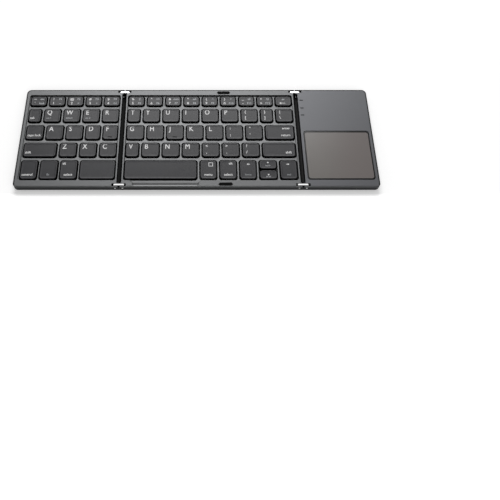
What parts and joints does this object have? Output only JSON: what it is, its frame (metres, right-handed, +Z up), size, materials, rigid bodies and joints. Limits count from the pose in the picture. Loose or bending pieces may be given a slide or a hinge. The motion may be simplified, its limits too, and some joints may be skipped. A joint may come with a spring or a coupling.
{
  "type": "folding keyboard",
  "caption": "Pocket keyboard in three panels: two leaves with two-pin hinge links fold over a wider centre, sprung keys in a sunk well, touchpad on the right leaf.",
  "frame": {"origin": "centre of the opened keyboard's footprint, on the plane of its rubber feet", "axes": "+X to the typist's right along the key rows, +Y away from the typist, +Z up out of the keys"},
  "size_m": [0.305, 0.0974, 0.0081],
  "materials": {
    "shell": "fine matt coating",
    "frame": "satin, metallic grey",
    "key": "soft matt",
    "base_plate": "blackened sheet",
    "membrane": "dark printed film",
    "dome": "black silicone",
    "bumper": "matt",
    "foot": "matt",
    "touchpad": "smooth satin",
    "board": "solder mask",
    "battery": "foil pouch",
    "port": "plated",
    "light": "smoked light guide, dark when unlit",
    "link": "polished",
    "pin": "turned",
    "strip": "matt"
  },
  "bodies": {
    "centre": {"centre_bottom_shell": "shell", "centre_top_frame": "frame", "centre_base_plate": "base_plate", "centre_membrane": "membrane", "centre_domes": "dome", "centre_bumpers": "bumper", "centre_feet": "foot"},
    "left_link": {"left_hinge_links": "link", "left_hinge_pins": "pin", "left_hinge_strip": "strip"},
    "left_leaf": {"left_bottom_shell": "shell", "left_top_frame": "frame", "left_base_plate": "base_plate", "left_membrane": "membrane", "left_domes": "dome", "left_feet": "foot"},
    "right_link": {"right_hinge_links": "link", "right_hinge_pins": "pin", "right_hinge_strip": "strip"},
    "right_leaf": {"right_bottom_shell": "shell", "right_top_frame": "frame", "touchpad": "touchpad", "main_board": "board", "battery_cell": "battery", "charge_port": "port", "status_lights": "light", "right_feet": "foot"},
    "left_number_keys": {"left_number_keys": "key"},
    "left_modifier_keys": {"left_modifier_keys": "key"},
    "left_space_key": {"left_space_key": "key"},
    "centre_number_keys": {"centre_number_keys": "key"},
    "centre_punctuation_keys": {"centre_punctuation_keys": "key"},
    "centre_command_keys": {"centre_command_keys": "key"},
    "centre_space_key": {"centre_space_key": "key"},
    "key_q": {"key_q": "key"},
    "key_w": {"key_w": "key"},
    "key_e": {"key_e": "key"},
    "key_r": {"key_r": "key"},
    "key_t": {"key_t": "key"},
    "key_y": {"key_y": "key"},
    "key_u": {"key_u": "key"},
    "key_i": {"key_i": "key"},
    "key_o": {"key_o": "key"},
    "key_p": {"key_p": "key"},
    "key_a": {"key_a": "key"},
    "key_s": {"key_s": "key"},
    "key_d": {"key_d": "key"},
    "key_f": {"key_f": "key"},
    "key_g": {"key_g": "key"},
    "key_h": {"key_h": "key"},
    "key_j": {"key_j": "key"},
    "key_k": {"key_k": "key"},
    "key_l": {"key_l": "key"},
    "key_z": {"key_z": "key"},
    "key_x": {"key_x": "key"},
    "key_c": {"key_c": "key"},
    "key_v": {"key_v": "key"},
    "key_b": {"key_b": "key"},
    "key_n": {"key_n": "key"},
    "key_m": {"key_m": "key"}
  },
  "joints": [
    {"name": "fold_left", "type": "hinge", "parent": "left_link", "child": "left_leaf", "pos_m": [-0.06765, 0, 0.0047], "axis": [0, 1, 0], "range_deg": [0, 90]},
    {"name": "fold_left_link", "type": "hinge", "parent": "centre", "child": "left_link", "pos_m": [-0.06145, 0, 0.0047], "axis": [0, 1, 0], "range_deg": [0, 90]},
    {"name": "fold_right", "type": "hinge", "parent": "right_link", "child": "right_leaf", "pos_m": [0.09155, 0, 0.0047], "axis": [0, -1, 0], "range_deg": [0, 90]},
    {"name": "fold_right_link", "type": "hinge", "parent": "centre", "child": "right_link", "pos_m": [0.08535, 0, 0.0047], "axis": [0, -1, 0], "range_deg": [0, 90]},
    {"name": "press_left_number_keys", "type": "slide", "parent": "left_leaf", "child": "left_number_keys", "axis": [0, 0, 1], "range_m": [-0.0012, 0], "stiffness_N_per_m": 375, "springref_m": 0.0004, "deforming": ["left_domes"]},
    {"name": "press_left_modifier_keys", "type": "slide", "parent": "left_leaf", "child": "left_modifier_keys", "axis": [0, 0, 1], "range_m": [-0.0012, 0], "stiffness_N_per_m": 375, "springref_m": 0.0004, "deforming": ["left_domes"]},
    {"name": "press_left_space_key", "type": "slide", "parent": "left_leaf", "child": "left_space_key", "axis": [0, 0, 1], "range_m": [-0.0012, 0], "stiffness_N_per_m": 375, "springref_m": 0.0004, "deforming": ["left_domes"]},
    {"name": "press_centre_number_keys", "type": "slide", "parent": "centre", "child": "centre_number_keys", "axis": [0, 0, 1], "range_m": [-0.0012, 0], "stiffness_N_per_m": 375, "springref_m": 0.0004, "deforming": ["centre_domes"]},
    {"name": "press_centre_punctuation_keys", "type": "slide", "parent": "centre", "child": "centre_punctuation_keys", "axis": [0, 0, 1], "range_m": [-0.0012, 0], "stiffness_N_per_m": 375, "springref_m": 0.0004, "deforming": ["centre_domes"]},
    {"name": "press_centre_command_keys", "type": "slide", "parent": "centre", "child": "centre_command_keys", "axis": [0, 0, 1], "range_m": [-0.0012, 0], "stiffness_N_per_m": 375, "springref_m": 0.0004, "deforming": ["centre_domes"]},
    {"name": "press_centre_space_key", "type": "slide", "parent": "centre", "child": "centre_space_key", "axis": [0, 0, 1], "range_m": [-0.0012, 0], "stiffness_N_per_m": 375, "springref_m": 0.0004, "deforming": ["centre_domes"]},
    {"name": "press_key_q", "type": "slide", "parent": "left_leaf", "child": "key_q", "axis": [0, 0, 1], "range_m": [-0.0012, 0], "stiffness_N_per_m": 375, "springref_m": 0.0004, "deforming": ["left_domes"]},
    {"name": "press_key_w", "type": "slide", "parent": "left_leaf", "child": "key_w", "axis": [0, 0, 1], "range_m": [-0.0012, 0], "stiffness_N_per_m": 375, "springref_m": 0.0004, "deforming": ["left_domes"]},
    {"name": "press_key_e", "type": "slide", "parent": "left_leaf", "child": "key_e", "axis": [0, 0, 1], "range_m": [-0.0012, 0], "stiffness_N_per_m": 375, "springref_m": 0.0004, "deforming": ["left_domes"]},
    {"name": "press_key_r", "type": "slide", "parent": "left_leaf", "child": "key_r", "axis": [0, 0, 1], "range_m": [-0.0012, 0], "stiffness_N_per_m": 375, "springref_m": 0.0004, "deforming": ["left_domes"]},
    {"name": "press_key_t", "type": "slide", "parent": "centre", "child": "key_t", "axis": [0, 0, 1], "range_m": [-0.0012, 0], "stiffness_N_per_m": 375, "springref_m": 0.0004, "deforming": ["centre_domes"]},
    {"name": "press_key_y", "type": "slide", "parent": "centre", "child": "key_y", "axis": [0, 0, 1], "range_m": [-0.0012, 0], "stiffness_N_per_m": 375, "springref_m": 0.0004, "deforming": ["centre_domes"]},
    {"name": "press_key_u", "type": "slide", "parent": "centre", "child": "key_u", "axis": [0, 0, 1], "range_m": [-0.0012, 0], "stiffness_N_per_m": 375, "springref_m": 0.0004, "deforming": ["centre_domes"]},
    {"name": "press_key_i", "type": "slide", "parent": "centre", "child": "key_i", "axis": [0, 0, 1], "range_m": [-0.0012, 0], "stiffness_N_per_m": 375, "springref_m": 0.0004, "deforming": ["centre_domes"]},
    {"name": "press_key_o", "type": "slide", "parent": "centre", "child": "key_o", "axis": [0, 0, 1], "range_m": [-0.0012, 0], "stiffness_N_per_m": 375, "springref_m": 0.0004, "deforming": ["centre_domes"]},
    {"name": "press_key_p", "type": "slide", "parent": "centre", "child": "key_p", "axis": [0, 0, 1], "range_m": [-0.0012, 0], "stiffness_N_per_m": 375, "springref_m": 0.0004, "deforming": ["centre_domes"]},
    {"name": "press_key_a", "type": "slide", "parent": "left_leaf", "child": "key_a", "axis": [0, 0, 1], "range_m": [-0.0012, 0], "stiffness_N_per_m": 375, "springref_m": 0.0004, "deforming": ["left_domes"]},
    {"name": "press_key_s", "type": "slide", "parent": "left_leaf", "child": "key_s", "axis": [0, 0, 1], "range_m": [-0.0012, 0], "stiffness_N_per_m": 375, "springref_m": 0.0004, "deforming": ["left_domes"]},
    {"name": "press_key_d", "type": "slide", "parent": "left_leaf", "child": "key_d", "axis": [0, 0, 1], "range_m": [-0.0012, 0], "stiffness_N_per_m": 375, "springref_m": 0.0004, "deforming": ["left_domes"]},
    {"name": "press_key_f", "type": "slide", "parent": "left_leaf", "child": "key_f", "axis": [0, 0, 1], "range_m": [-0.0012, 0], "stiffness_N_per_m": 375, "springref_m": 0.0004, "deforming": ["left_domes"]},
    {"name": "press_key_g", "type": "slide", "parent": "centre", "child": "key_g", "axis": [0, 0, 1], "range_m": [-0.0012, 0], "stiffness_N_per_m": 375, "springref_m": 0.0004, "deforming": ["centre_domes"]},
    {"name": "press_key_h", "type": "slide", "parent": "centre", "child": "key_h", "axis": [0, 0, 1], "range_m": [-0.0012, 0], "stiffness_N_per_m": 375, "springref_m": 0.0004, "deforming": ["centre_domes"]},
    {"name": "press_key_j", "type": "slide", "parent": "centre", "child": "key_j", "axis": [0, 0, 1], "range_m": [-0.0012, 0], "stiffness_N_per_m": 375, "springref_m": 0.0004, "deforming": ["centre_domes"]},
    {"name": "press_key_k", "type": "slide", "parent": "centre", "child": "key_k", "axis": [0, 0, 1], "range_m": [-0.0012, 0], "stiffness_N_per_m": 375, "springref_m": 0.0004, "deforming": ["centre_domes"]},
    {"name": "press_key_l", "type": "slide", "parent": "centre", "child": "key_l", "axis": [0, 0, 1], "range_m": [-0.0012, 0], "stiffness_N_per_m": 375, "springref_m": 0.0004, "deforming": ["centre_domes"]},
    {"name": "press_key_z", "type": "slide", "parent": "left_leaf", "child": "key_z", "axis": [0, 0, 1], "range_m": [-0.0012, 0], "stiffness_N_per_m": 375, "springref_m": 0.0004, "deforming": ["left_domes"]},
    {"name": "press_key_x", "type": "slide", "parent": "left_leaf", "child": "key_x", "axis": [0, 0, 1], "range_m": [-0.0012, 0], "stiffness_N_per_m": 375, "springref_m": 0.0004, "deforming": ["left_domes"]},
    {"name": "press_key_c", "type": "slide", "parent": "left_leaf", "child": "key_c", "axis": [0, 0, 1], "range_m": [-0.0012, 0], "stiffness_N_per_m": 375, "springref_m": 0.0004, "deforming": ["left_domes"]},
    {"name": "press_key_v", "type": "slide", "parent": "centre", "child": "key_v", "axis": [0, 0, 1], "range_m": [-0.0012, 0], "stiffness_N_per_m": 375, "springref_m": 0.0004, "deforming": ["centre_domes"]},
    {"name": "press_key_b", "type": "slide", "parent": "centre", "child": "key_b", "axis": [0, 0, 1], "range_m": [-0.0012, 0], "stiffness_N_per_m": 375, "springref_m": 0.0004, "deforming": ["centre_domes"]},
    {"name": "press_key_n", "type": "slide", "parent": "centre", "child": "key_n", "axis": [0, 0, 1], "range_m": [-0.0012, 0], "stiffness_N_per_m": 375, "springref_m": 0.0004, "deforming": ["centre_domes"]},
    {"name": "press_key_m", "type": "slide", "parent": "centre", "child": "key_m", "axis": [0, 0, 1], "range_m": [-0.0012, 0], "stiffness_N_per_m": 375, "springref_m": 0.0004, "deforming": ["centre_domes"]}
  ],
  "couplings": [
    {"joint": "fold_left_link", "follows": "fold_left", "ratio": 1},
    {"joint": "fold_right_link", "follows": "fold_right", "ratio": 1}
  ]
}
